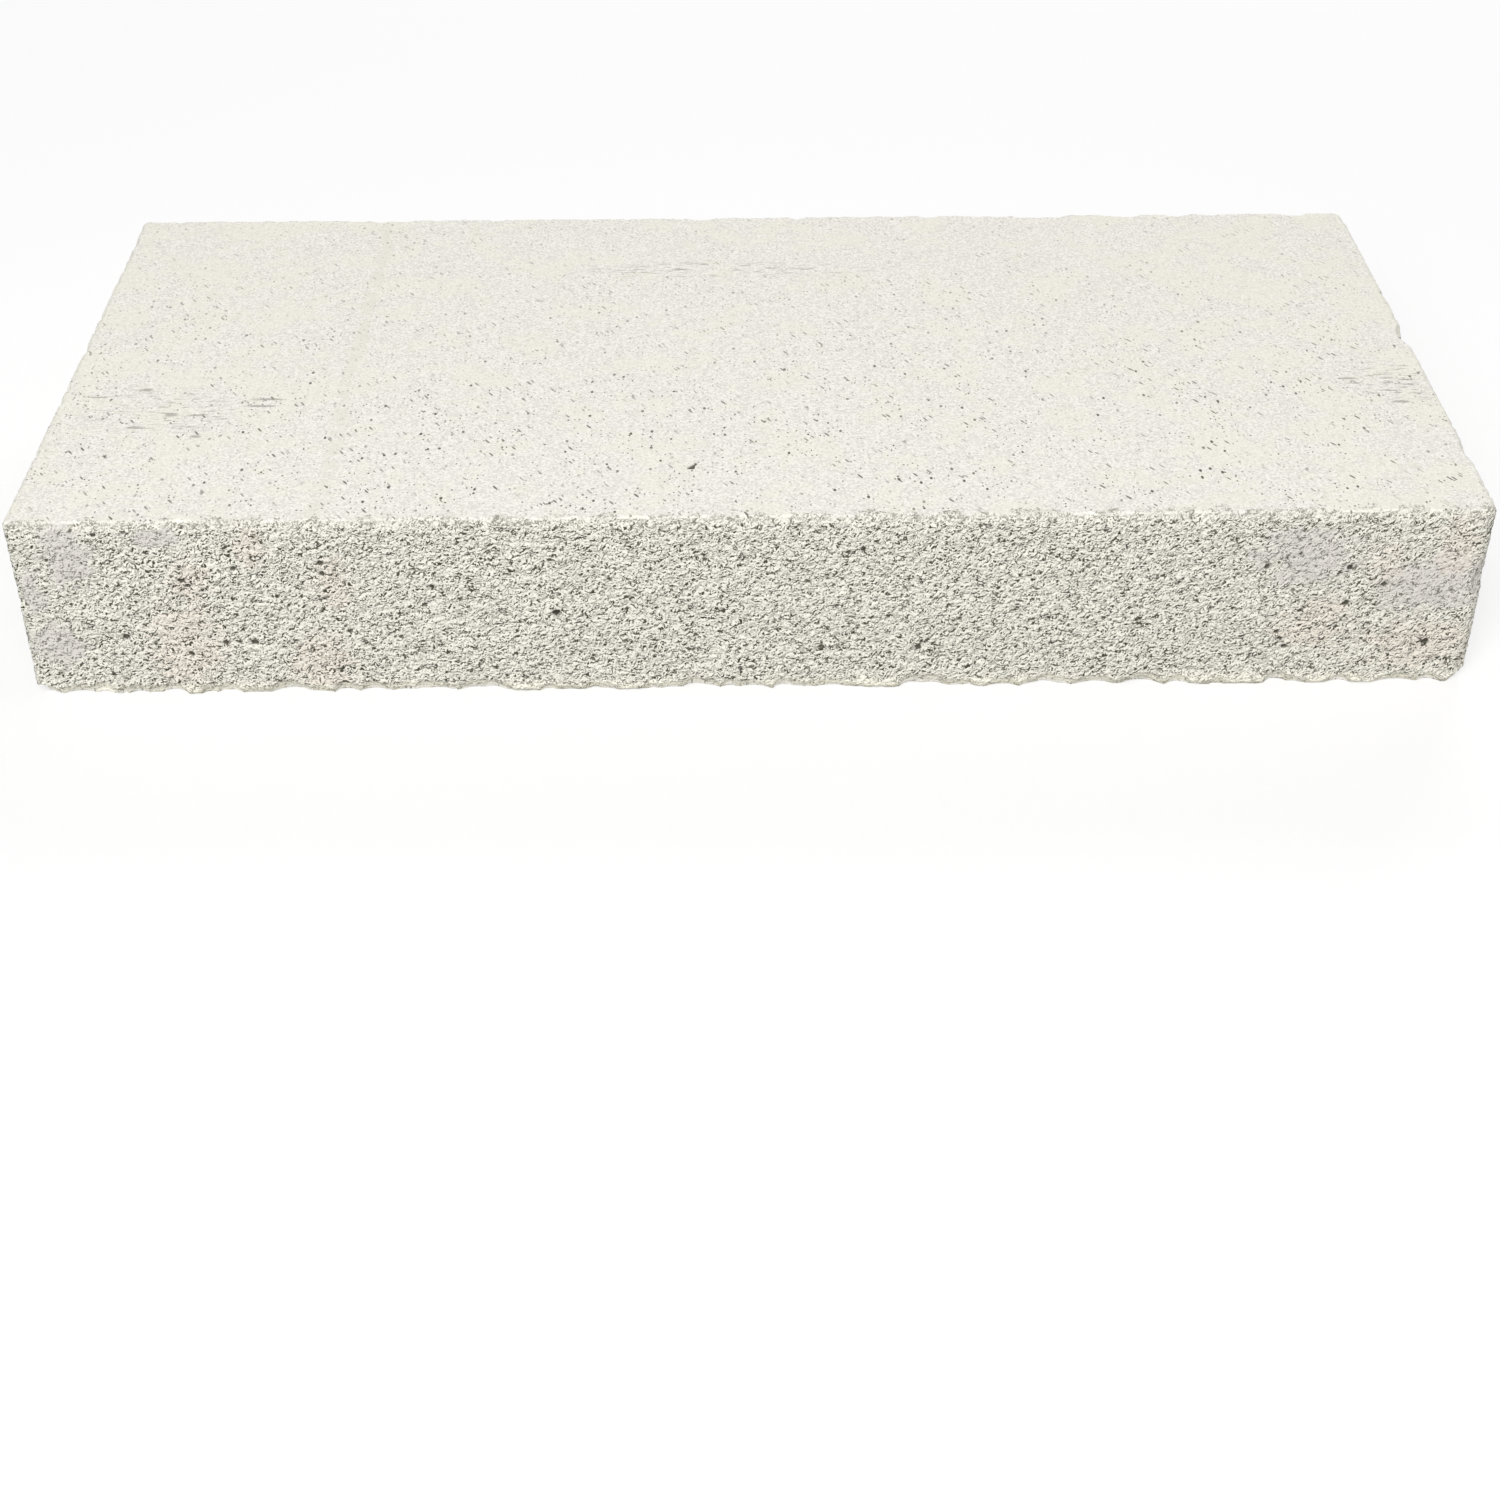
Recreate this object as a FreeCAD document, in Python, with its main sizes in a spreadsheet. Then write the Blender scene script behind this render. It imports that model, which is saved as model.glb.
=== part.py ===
import FreeCAD
import Part
import Sketcher
import os

# Refractory firebrick of the thin size called a split: one light, porous, fired block
# with two flat bed faces and four torn side faces. Its arrises are worn round, and a few
# chips have crumbled out of them. It lies on a bed face: the origin is the middle of the
# lower bed face, +X runs along the length, +Y to the back and +Z up. Millimetres.

NODE = "firebrick"

BLOCK_SIZES = {
    "length": 228.6,
    "width": 114.3,
    "thickness": 31.75,
    # radius of the worn arrises round the two bed faces
    "arris_top": 0.8,
    "arris_bottom": 0.8,
    # how much rounder than those each upright arris is worn
    "wear_front_left": 1.0,
    "wear_front_right": 2.0,
    "wear_back_right": 1.7,
    "wear_back_left": 0.7,
}

# Each chip is a round scoop out of an arris. Its middle lies where along says, from the
# named end of that arris. Span is its length on the arris, deep is how far it reaches in
# over the bed face, and tall is how far it reaches up or down the side face.
CHIPS = {
    "front_hollow": {"arris": "front_from_left", "along": 10.8, "span": 3.6, "deep": 1.8, "tall": 2.3},
    "front_nick": {"arris": "front_from_left", "along": 21.4, "span": 4.4, "deep": 1.4, "tall": 1.3},
    "front_dip": {"arris": "front_from_left", "along": 32.0, "span": 5.0, "deep": 1.2, "tall": 1.1},
    "front_arch": {"arris": "front_from_left", "along": 44.8, "span": 7.4, "deep": 1.5, "tall": 1.5},
    "front_step": {"arris": "front_from_left", "along": 73.6, "span": 5.8, "deep": 1.6, "tall": 1.7},
    "front_shelf": {"arris": "front_from_left", "along": 85.1, "span": 6.4, "deep": 1.3, "tall": 1.2},
    "middle_arch": {"arris": "front_from_right", "along": 101.4, "span": 5.4, "deep": 1.4, "tall": 1.3},
    "middle_nick": {"arris": "front_from_right", "along": 64.6, "span": 4.8, "deep": 1.3, "tall": 1.3},
    "right_dip": {"arris": "front_from_right", "along": 40.1, "span": 3.4, "deep": 1.2, "tall": 1.2},
    "right_nick": {"arris": "front_from_right", "along": 29.1, "span": 4.4, "deep": 1.4, "tall": 1.3},
    "right_notch": {"arris": "front_from_right", "along": 21.5, "span": 3.4, "deep": 1.4, "tall": 1.5},
    "right_end": {"arris": "front_from_right", "along": 12.0, "span": 5.0, "deep": 1.3, "tall": 1.3},
    "corner_break": {"arris": "right_below", "along": 0.4, "span": 4.6, "deep": 2.0, "tall": 2.2},
    "end_notch": {"arris": "right_above", "along": 61.2, "span": 10.0, "deep": 1.8, "tall": 2.2},
    "end_dent": {"arris": "right_above", "along": 20.0, "span": 9.0, "deep": 1.2, "tall": 1.3},
    "back_nick": {"arris": "back_from_right", "along": 8.8, "span": 4.4, "deep": 1.5, "tall": 1.4},
}

# Each arris: the axis that it runs along, the end of it that along counts from, the side
# face that it bounds (both as -1 or 1 on their axis) and its bed face.
ARRISES = {
    "front_from_left": ("x", -1, -1, "lower"),
    "front_from_right": ("x", 1, -1, "lower"),
    "back_from_right": ("x", 1, 1, "upper"),
    "right_above": ("y", -1, 1, "upper"),
    "right_below": ("y", -1, 1, "lower"),
}

TOUCH = 0.001  # how near its plane a point on that plane lies
LEAST_CHIP = 0.5  # cubic millimetres: a chip that takes less has missed the block


def make_sheet(doc):
    """Put every driving size in a named cell."""
    sizes = dict(BLOCK_SIZES)
    for chip, values in CHIPS.items():
        for measure in ("along", "span", "deep", "tall"):
            sizes[f"{chip}_{measure}"] = values[measure]
    sheet = doc.addObject("Spreadsheet::Sheet", "Sizes")
    for row, (name, value) in enumerate(sizes.items(), start=1):
        sheet.set(f"A{row}", name)
        sheet.set(f"B{row}", str(value))
        sheet.setAlias(f"B{row}", name)
    doc.recompute()
    return sheet


def origin_plane(body):
    """The plane that the lower bed face lies in."""
    return next(f for f in body.Origin.OriginFeatures if f.Role == "XY_Plane")


def draw_plan(body, sheet):
    """Sketch the block's plan, a rectangle about the origin."""
    plan = body.newObject("Sketcher::SketchObject", "plan")
    plan.AttachmentSupport = [(origin_plane(body), "")]
    plan.MapMode = "FlatFace"
    x = sheet.length / 2
    y = sheet.width / 2
    corners = [FreeCAD.Vector(*at) for at in ((-x, -y, 0), (x, -y, 0), (x, y, 0), (-x, y, 0))]
    for start, end in zip(corners, corners[1:] + corners[:1]):
        plan.addGeometry(Part.LineSegment(start, end), False)
    front, right, back, left = range(4)
    begin, finish, origin = 1, 2, -1
    for line, following in ((front, right), (right, back), (back, left), (left, front)):
        plan.addConstraint(Sketcher.Constraint("Coincident", line, finish, following, begin))
    plan.addConstraint(Sketcher.Constraint("Horizontal", front))
    plan.addConstraint(Sketcher.Constraint("Horizontal", back))
    plan.addConstraint(Sketcher.Constraint("Vertical", right))
    plan.addConstraint(Sketcher.Constraint("Vertical", left))
    plan.addConstraint(Sketcher.Constraint("Symmetric", front, begin, back, begin, origin, 1))
    long_side = plan.addConstraint(Sketcher.Constraint("DistanceX", front, begin, front, finish, 2 * x))
    short_side = plan.addConstraint(Sketcher.Constraint("DistanceY", right, begin, right, finish, 2 * y))
    plan.renameConstraint(long_side, "long_side")
    plan.renameConstraint(short_side, "short_side")
    plan.setExpression("Constraints.long_side", "Sizes.length")
    plan.setExpression("Constraints.short_side", "Sizes.width")
    return plan


def press_block(body, plan):
    """Give the plan its thickness."""
    block = body.newObject("PartDesign::Pad", "block")
    block.Profile = plan
    block.setExpression("Length", "Sizes.thickness")
    return block


def edges_where(shape, belongs):
    """Names of the edges whose ends all belong."""
    return [
        f"Edge{number}"
        for number, edge in enumerate(shape.Edges, start=1)
        if all(belongs(vertex.Point) for vertex in edge.Vertexes)
    ]


def round_edges(body, name, belongs, radius):
    """Wear the edges whose ends belong to a radius."""
    body.Document.recompute()
    base = body.Tip
    worn = body.newObject("PartDesign::Fillet", name)
    worn.Base = (base, edges_where(base.Shape, belongs))
    worn.setExpression("Radius", radius)
    return worn


def wear_arrises(body, sheet):
    """Round the four upright arrises, then the loop of arrises round each bed face."""
    upright = {
        "front_left": lambda at: at.x < 0 and at.y < 0,
        "front_right": lambda at: at.x > 0 and at.y < 0,
        "back_right": lambda at: at.x > 0 and at.y > 0,
        "back_left": lambda at: at.x < 0 and at.y > 0,
    }
    for corner, belongs in upright.items():
        radius = f"max(Sizes.arris_top; Sizes.arris_bottom) + Sizes.wear_{corner}"
        round_edges(body, corner, belongs, radius)
    round_edges(body, "upper_arrises", lambda at: abs(at.z - sheet.thickness) < TOUCH, "Sizes.arris_top")
    round_edges(body, "lower_arrises", lambda at: abs(at.z) < TOUCH, "Sizes.arris_bottom")


def crumble(body, chip, arris):
    """Scoop one chip out of its arris.

    The scoop is part of a ball. The ball cuts the arris in a chord of the chip's span, and
    its centre stands off from the side face and the bed face by just so much that it
    reaches as deep and as tall as it should.
    """
    runs_along, end, side, bed = ARRISES[arris]
    half_span = f"Sizes.{chip}_span / 2"
    deep = f"Sizes.{chip}_deep"
    tall = f"Sizes.{chip}_tall"
    off_side = f"(({half_span})^2 - {deep}^2) / (2 * {deep})"
    off_bed = f"(({half_span})^2 - {tall}^2) / (2 * {tall})"
    long_size, cross_size = ("length", "width") if runs_along == "x" else ("width", "length")
    on_arris = f"{end} * (Sizes.{long_size} / 2 - Sizes.{chip}_along)"
    off_arris = f"{side} * (Sizes.{cross_size} / 2 + {off_side})"
    ball = body.newObject("PartDesign::SubtractiveSphere", chip)
    ball.AttachmentSupport = [(origin_plane(body), "")]
    ball.MapMode = "FlatFace"
    x, y = (on_arris, off_arris) if runs_along == "x" else (off_arris, on_arris)
    z = f"Sizes.thickness + {off_bed}" if bed == "upper" else f"-({off_bed})"
    ball.setExpression("AttachmentOffset.Base.x", x)
    ball.setExpression("AttachmentOffset.Base.y", y)
    ball.setExpression("AttachmentOffset.Base.z", z)
    ball.setExpression("Radius", f"sqrt(({half_span})^2 + ({off_side})^2 + ({off_bed})^2)")
    return ball


def make_brick(doc, sheet):
    """The whole brick, which is one piece."""
    brick = doc.addObject("PartDesign::Body", NODE)
    brick.Label = NODE
    press_block(brick, draw_plan(brick, sheet))
    wear_arrises(brick, sheet)
    for chip, values in CHIPS.items():
        doc.recompute()
        whole = brick.Shape.Volume
        crumble(brick, chip, values["arris"])
        doc.recompute()
        if whole - brick.Shape.Volume < LEAST_CHIP:
            raise ValueError(f"{chip} takes nothing off the block")
    return brick


def check(doc, pieces):
    """Stop unless every feature worked and every piece is one sound solid."""
    for thing in doc.Objects:
        if "Invalid" in thing.State or "Error" in thing.State:
            raise ValueError(f"{thing.Label} failed")
    for piece in pieces:
        if piece.Shape.isNull() or not piece.Shape.isValid():
            raise ValueError(f"{piece.Label} is not a sound solid")
        if len(piece.Shape.Solids) != 1:
            raise ValueError(f"{piece.Label} is not one piece")


def write(pieces):
    """Write each piece to a file of its own name."""
    os.makedirs("parts", exist_ok=True)
    for piece in pieces:
        piece.Shape.exportStep(f"parts/{piece.Label}.step")


doc = FreeCAD.newDocument("Firebrick")
sheet = make_sheet(doc)
brick = make_brick(doc, sheet)
doc.recompute()
check(doc, [brick])
write([brick])
print(f"{NODE}: {brick.Shape.Volume / 1000:.1f} cubic centimetres, {brick.Shape.BoundBox}")
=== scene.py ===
import math

import bpy
import numpy as np
from mathutils import Matrix, Vector
from mathutils.bvhtree import BVHTree


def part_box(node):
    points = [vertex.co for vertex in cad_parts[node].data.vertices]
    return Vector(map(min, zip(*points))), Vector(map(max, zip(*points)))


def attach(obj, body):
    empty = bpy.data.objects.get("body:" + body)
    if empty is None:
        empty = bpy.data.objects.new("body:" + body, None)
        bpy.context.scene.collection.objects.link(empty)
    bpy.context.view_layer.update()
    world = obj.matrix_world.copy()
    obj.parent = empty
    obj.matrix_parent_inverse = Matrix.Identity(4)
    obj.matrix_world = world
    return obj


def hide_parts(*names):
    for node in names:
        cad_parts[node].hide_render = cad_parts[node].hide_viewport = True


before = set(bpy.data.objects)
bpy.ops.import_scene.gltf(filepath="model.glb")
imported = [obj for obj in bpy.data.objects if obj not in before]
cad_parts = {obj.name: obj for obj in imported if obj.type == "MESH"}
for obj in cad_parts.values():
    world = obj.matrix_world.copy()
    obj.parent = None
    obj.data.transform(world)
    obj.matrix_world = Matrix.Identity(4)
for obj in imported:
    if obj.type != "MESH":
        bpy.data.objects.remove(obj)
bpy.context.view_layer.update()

# The brick lies on its lower bed face: +X along its length, +Y to the back, +Z up.
# Its shape is worked out in millimetres and turned into metres at the end.
NODE = "firebrick"
MM = 0.001
LOW, HIGH = (np.array(corner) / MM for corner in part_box(NODE))
SEED = 20

# The camera, fitted to the corners of the brick in the photograph
IMAGE_PX = 1500
FOCAL_PX = 2373.1
SENSOR_MM = 36.0
CAMERA_NEAREST = 0.01  # how near, in metres, it still sees
CAMERA_AT = Vector((-4.37, -369.95, 214.51)) * MM
CAMERA_PITCH = math.radians(35.855)  # below the horizon
CAMERA_YAW = math.radians(0.701)
CAMERA_ROLL = math.radians(0.167)


def add_camera():
    """Look at the brick from where the photograph was taken."""
    ahead = Vector((
        math.sin(CAMERA_YAW) * math.cos(CAMERA_PITCH),
        math.cos(CAMERA_YAW) * math.cos(CAMERA_PITCH),
        -math.sin(CAMERA_PITCH),
    ))
    level = Vector((math.cos(CAMERA_YAW), -math.sin(CAMERA_YAW), 0.0))
    down = ahead.cross(level)
    right = level * math.cos(CAMERA_ROLL) + down * math.sin(CAMERA_ROLL)
    up = level * math.sin(CAMERA_ROLL) - down * math.cos(CAMERA_ROLL)
    turn = Matrix((right, up, -ahead)).transposed()
    data = bpy.data.cameras.new("camera")
    data.sensor_width = SENSOR_MM
    data.lens = FOCAL_PX * SENSOR_MM / IMAGE_PX
    data.clip_start = CAMERA_NEAREST
    camera = bpy.data.objects.new("camera", data)
    camera.matrix_world = Matrix.Translation(CAMERA_AT) @ turn.to_4x4()
    bpy.context.scene.collection.objects.link(camera)
    bpy.context.scene.camera = camera


# Light and floor, in metres: a key lamp in front and above, and a weaker one low behind
WHITE = (1.0, 1.0, 1.0, 1.0)
LAMPS = {
    "key": {"at": (-0.15, -0.92, 0.84), "size": 0.8, "watts": 15.0},
    "fill": {"at": (0.25, 1.1, 0.45), "size": 0.9, "watts": 8.0},
}
SKY_STRENGTH = 0.28
FLOOR_SIZE = 8.0
FLOOR_COLOUR = (0.78, 0.78, 0.77, 1.0)  # as the brick sees it
FLOOR_GLOW = 0.5  # how much of it shows as plain white near the brick, shadow or not
FLOOR_NEAR = 0.2  # how far from the brick's middle that holds
FLOOR_FAR = 0.8  # and from where on all of it shows as plain white


def add_lamps():
    """Large soft lamps that face the brick."""
    for name, lamp in LAMPS.items():
        data = bpy.data.lights.new(name, "AREA")
        data.size = lamp["size"]
        data.energy = lamp["watts"]
        made = bpy.data.objects.new(name, data)
        made.location = lamp["at"]
        made.rotation_euler = (-made.location).to_track_quat("-Z", "Y").to_euler()
        bpy.context.scene.collection.objects.link(made)


class Field:
    """A value, colour or direction that shader nodes work out at each point."""

    def __init__(self, tree, socket):
        self.tree = tree
        self.socket = socket

    def _math(self, operation, *others):
        return node(self.tree, "ShaderNodeMath", self, *others, operation=operation)

    def __add__(self, other):
        return self._math("ADD", other)

    def __sub__(self, other):
        return self._math("SUBTRACT", other)

    def __rsub__(self, other):
        return (self * -1) + other

    def __mul__(self, other):
        return self._math("MULTIPLY", other)

    def __abs__(self):
        return self._math("ABSOLUTE")

    def above(self, other):
        """The larger of the two."""
        return self._math("MAXIMUM", other)

    def below(self, other):
        """The smaller of the two."""
        return self._math("MINIMUM", other)

    def power(self, other):
        """This value to a power."""
        return self._math("POWER", other)

    def ease(self, low, high, to_low=0.0, to_high=1.0):
        """to_low where this is low, to_high where it is high, and eased between them."""
        return node(
            self.tree, "ShaderNodeMapRange", self, low, high, to_low, to_high,
            interpolation_type="SMOOTHSTEP",
        )

    def moved(self, vector):
        """This place with a vector added."""
        return node(self.tree, "ShaderNodeVectorMath", self, vector, operation="ADD")

    def scaled(self, vector):
        """This place with each of its coordinates multiplied."""
        return node(self.tree, "ShaderNodeVectorMath", self, vector, operation="MULTIPLY")

    def length(self):
        """How far this place is from the middle."""
        return node(self.tree, "ShaderNodeVectorMath", self, output="Value", operation="LENGTH")


def node(tree, kind, *values, output=0, **settings):
    """Add a shader node, set its first inputs in turn, and return one of its outputs."""
    made = tree.nodes.new(kind)
    for name, value in settings.items():
        setattr(made, name, value)
    for socket, value in zip(made.inputs, values):
        if isinstance(value, Field):
            tree.links.new(value.socket, socket)
        elif value is not None:
            socket.default_value = value
    return Field(tree, made.outputs[output])


def node_out(tree, kind, surface):
    """Add the output node and give it its surface."""
    output = tree.nodes.new(kind)
    tree.links.new(surface.socket, output.inputs["Surface"])


def seen_directly(tree):
    """One where a ray comes from the camera, a mirror or glass, and nought elsewhere."""
    kinds = ("Is Camera Ray", "Is Glossy Ray", "Is Transmission Ray")
    camera, glossy, clear = (node(tree, "ShaderNodeLightPath", output=kind) for kind in kinds)
    return camera.above(glossy).above(clear)


def light_the_world():
    """A pale sky that shows as plain white."""
    world = bpy.data.worlds.new("world")
    world.use_nodes = True
    tree = world.node_tree
    tree.nodes.clear()
    sky = node(tree, "ShaderNodeBackground", WHITE, SKY_STRENGTH)
    white = node(tree, "ShaderNodeBackground", WHITE, 1.0)
    shown = node(tree, "ShaderNodeMixShader", seen_directly(tree), sky, white)
    node_out(tree, "ShaderNodeOutputWorld", shown)
    bpy.context.scene.world = world


def add_floor():
    """A plain pale floor that keeps the brick's shadow near it and shows plain white far off."""
    half = FLOOR_SIZE / 2
    mesh = bpy.data.meshes.new("floor")
    corners = [(-half, -half, 0), (half, -half, 0), (half, half, 0), (-half, half, 0)]
    mesh.from_pydata(corners, [], [(0, 1, 2, 3)])
    floor = bpy.data.objects.new("floor", mesh)
    bpy.context.scene.collection.objects.link(floor)
    material = bpy.data.materials.new("floor")
    material.use_nodes = True
    tree = material.node_tree
    tree.nodes.clear()
    seen = seen_directly(tree)
    matt = node(tree, "ShaderNodeBsdfDiffuse", FLOOR_COLOUR)
    pale = node(tree, "ShaderNodeBsdfDiffuse", WHITE)
    glow = node(tree, "ShaderNodeEmission", WHITE, 1.0)
    distance = node(tree, "ShaderNodeTexCoord", output="Object").length()
    share = distance.ease(FLOOR_NEAR, FLOOR_FAR, FLOOR_GLOW, 1.0)
    shown = node(tree, "ShaderNodeMixShader", share, pale, glow)
    surface = node(tree, "ShaderNodeMixShader", seen, matt, shown)
    node_out(tree, "ShaderNodeOutputMaterial", surface)
    mesh.materials.append(material)


# Random relief
NOISE_TABLE = 256  # how many slopes it is made of
NOISE_GAIN = 1.5


class Noise:
    """Smooth random relief in three dimensions, the same each run for one seed."""

    def __init__(self, seed):
        random = np.random.default_rng(seed)
        self.order = np.tile(random.permutation(NOISE_TABLE), 2)
        slopes = random.normal(size=(NOISE_TABLE, 3))
        self.slopes = slopes / np.linalg.norm(slopes, axis=1, keepdims=True)

    def pick(self, corner):
        """The number of a slope for each whole-numbered corner."""
        x, y, z = (corner[:, axis] & (NOISE_TABLE - 1) for axis in range(3))
        return self.order[self.order[self.order[x] + y] + z]

    def __call__(self, points):
        """Relief from about -1 to 1, one bump wide for each unit."""
        cell = np.floor(points).astype(np.int64)
        part = points - cell
        ease = part ** 3 * (part * (part * 6 - 15) + 10)
        total = np.zeros(len(points))
        for step in np.ndindex(2, 2, 2):
            slope = self.slopes[self.pick(cell + step)]
            height = np.einsum("ij,ij->i", slope, part - step)
            share = np.prod(np.where(step, ease, 1 - ease), axis=1)
            total += share * height
        return total * NOISE_GAIN


NOISES = ("bend", "coarse", "fine", "broad", "edge", "patch", "tint")
RELIEF = {name: Noise(SEED + number) for number, name in enumerate(NOISES)}

# How wide their bumps are along, across and up the side, in millimetres
BUMPS = {
    "bend": (2.6, 2.6, 1.6),
    "sway": (1.7, 1.7, 1.1),
    "coarse": (1.8, 1.8, 1.0),
    "fine": (0.9, 0.9, 0.6),
    "broad": (11.0, 11.0, 8.0),
    "patch": (4.0, 4.0, 2.5),
    "tint": (1.5, 1.5, 0.9),
}


def smooth(low, high, value):
    """Nought at low, one at high, and eased between them."""
    part = np.clip((value - low) / (high - low), 0, 1)
    return part * part * (3 - 2 * part)


# The brick's skin, in millimetres from here on
STEP_ALONG = 0.4
STEP_UP = 0.3
EDGE_ZONE = 8.0  # how far from an arris the ways inwards fan round
TRIANGLES = 190000  # after the flat parts are thinned


def lattice():
    """Points on the brick's box, in order of x, and the quads between them."""
    steps = np.array([STEP_ALONG, STEP_ALONG, STEP_UP])
    counts = np.ceil((HIGH - LOW) / steps).astype(int)
    ticks = [np.linspace(LOW[axis], HIGH[axis], counts[axis] + 1) for axis in range(3)]
    numbers = np.full(counts + 1, -1, dtype=np.int32)
    on_skin = np.zeros(counts + 1, dtype=bool)
    for axis in range(3):
        for end in (0, -1):
            face = [slice(None)] * 3
            face[axis] = end
            on_skin[tuple(face)] = True
    where = np.argwhere(on_skin)
    numbers[tuple(where.T)] = np.arange(len(where))
    points = np.stack([ticks[axis][where[:, axis]] for axis in range(3)], axis=1)
    quads = []
    for axis in range(3):
        for end in (0, -1):
            face = [slice(None)] * 3
            face[axis] = end
            grid = numbers[tuple(face)]
            a, b, c, d = grid[:-1, :-1], grid[1:, :-1], grid[1:, 1:], grid[:-1, 1:]
            forward = (axis == 1) != (end == -1)
            loop = (a, b, c, d) if forward else (a, d, c, b)
            quads.append(np.stack([corner.ravel() for corner in loop], axis=1))
    return points, np.concatenate(quads)


class Skin:
    """The brick's surface: points of its box, which are pushed inwards."""

    def __init__(self):
        self.home, self.quads = lattice()
        self.points = self.home.copy()
        core = np.clip(self.home, LOW + EDGE_ZONE, HIGH - EDGE_ZONE)
        self.inward = core - self.home
        self.inward /= np.linalg.norm(self.inward, axis=1, keepdims=True)
        gaps = np.minimum(self.home - LOW, HIGH - self.home)
        self.from_side = np.minimum(gaps[:, 0], gaps[:, 1])
        self.from_upright = np.maximum(gaps[:, 0], gaps[:, 1])
        self.near_arris = (gaps < EDGE_ZONE).sum(axis=1) > 1
        self.on_end = gaps[:, 0] < gaps[:, 1]

    def drop_to_solid(self):
        """Move the points near an arris inwards until they meet the CAD solid."""
        depsgraph = bpy.context.evaluated_depsgraph_get()
        tree = BVHTree.FromObject(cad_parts[NODE], depsgraph)
        start = (self.points - self.inward) * MM
        for number in np.flatnonzero(self.near_arris):
            hit = tree.ray_cast(Vector(start[number]), Vector(self.inward[number]))[0]
            if hit is not None:
                self.points[number] = np.array(hit) / MM

    def scoop(self, centre, radius):
        """Push the points inside a ball inwards to its far skin, and say which and how far."""
        reach = radius + EDGE_ZONE
        first, last = np.searchsorted(self.home[:, 0], (centre[0] - reach, centre[0] + reach))
        offset = self.points[first:last] - centre
        clear = (offset ** 2).sum(axis=1) - radius ** 2
        near = np.flatnonzero(clear < 0)
        way = self.inward[first:last][near]
        along = (offset[near] * way).sum(axis=1)
        step = np.sqrt(along ** 2 - clear[near]) - along
        self.points[first + near] += way * step[:, None]
        return first + near, step


# Chance bites out of the arrises: one for each stretch of arris, with the least and the
# most of their span on it and of how far they reach over each of its faces
BITES = {
    "lower": {"stretch": 3.0, "span": (2.4, 9.0), "deep": (1.2, 2.7)},
    "upper_front": {"stretch": 4.0, "span": (1.8, 7.0), "deep": (0.6, 1.7)},
    "upper_back": {"stretch": 4.0, "span": (2.4, 9.0), "deep": (0.9, 2.1)},
    "upper_end": {"stretch": 6.0, "span": (1.8, 6.0), "deep": (0.5, 1.1)},
    "upright": {"stretch": 6.0, "span": (2.6, 8.0), "deep": (1.5, 2.5)},
}
SMALL_BITES = 1.8  # the power that makes small bites more common than large ones
BROKEN_CORNER = {"ends": (1, -1, -1), "ball": 14.0, "deep": 2.5}  # a ball's radius and reach


def bites_of(run, ends):
    """The kind of bites that an arris has, by its axis and the ends of the others it lies at."""
    if run == 2:
        return "upright"
    if ends[1] < 0:
        return "lower"
    if run == 1:
        return "upper_end"
    return "upper_back" if ends[0] > 0 else "upper_front"


def bite_arrises(skin):
    """Take chance bites out of all twelve arrises."""
    random = np.random.default_rng(SEED)
    for run in range(3):
        others = [axis for axis in range(3) if axis != run]
        for ends in ((-1, -1), (-1, 1), (1, -1), (1, 1)):
            bites = BITES[bites_of(run, ends)]
            length = HIGH[run] - LOW[run]
            for _ in range(round(length / bites["stretch"])):
                share = random.uniform() ** SMALL_BITES
                half_span = np.interp(share, (0, 1), bites["span"]) / 2
                deep = min(np.interp(random.uniform(), (0, 1), bites["deep"]), half_span)
                off = (half_span ** 2 - deep ** 2) / (2 * deep)
                centre = np.empty(3)
                centre[run] = LOW[run] + random.uniform() * length
                for axis, end in zip(others, ends):
                    centre[axis] = HIGH[axis] + off if end > 0 else LOW[axis] - off
                skin.scoop(centre, math.hypot(half_span, off, off))
    outward = np.array(BROKEN_CORNER["ends"])
    corner = np.where(outward > 0, HIGH, LOW)
    ball = BROKEN_CORNER["ball"]
    skin.scoop(corner + outward / math.sqrt(3) * (ball - BROKEN_CORNER["deep"]), ball)


# Smooth lilac patches and pink tinges on the front side: middle and half size along the
# length and up it
FRONT_LILAC = {
    "upper_left": (-105.3, 26.0, 3.8, 5.6),
    "left_edge": (-111.6, 20.0, 1.8, 5.0),
    "lower_left": (-108.6, 9.5, 4.0, 4.0),
    "left_arris": (-91.0, 29.2, 4.4, 1.9),
    "right": (86.0, 24.0, 8.0, 5.2),
    "right_end": (106.0, 18.6, 9.5, 5.4),
}
FRONT_PINK = {
    "left": (-89.0, 9.0, 5.0, 8.0),
    "left_high": (-87.0, 21.5, 3.0, 3.5),
    "left_arris": (-77.0, 27.5, 2.6, 3.0),
    "arch": (-68.0, 6.0, 4.5, 4.6),
    "arch_high": (-65.2, 21.0, 2.8, 4.0),
    "right": (88.5, 12.0, 5.5, 4.4),
    "right_end": (105.0, 7.6, 8.5, 4.8),
    "between": (98.0, 22.6, 2.8, 3.6),
    "corner": (109.0, 25.5, 3.6, 5.0),
}
PATCHES_HIDDEN = {"lilac": 8, "pink": 12}  # on the back side, and a share of it on each end
PATCH_HALF = (3.0, 8.0)
PATCH_DEPTH = 4.0
PATCH_HEIGHT = 0.6  # how much lower than long a hidden one is
PATCH_RAGGED = 0.6  # how far two noises move a patch's edge, as a share of its half size
PATCH_EDGE = (1.3, 0.6)  # where its edge ends and where it is full, in the same measure


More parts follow.
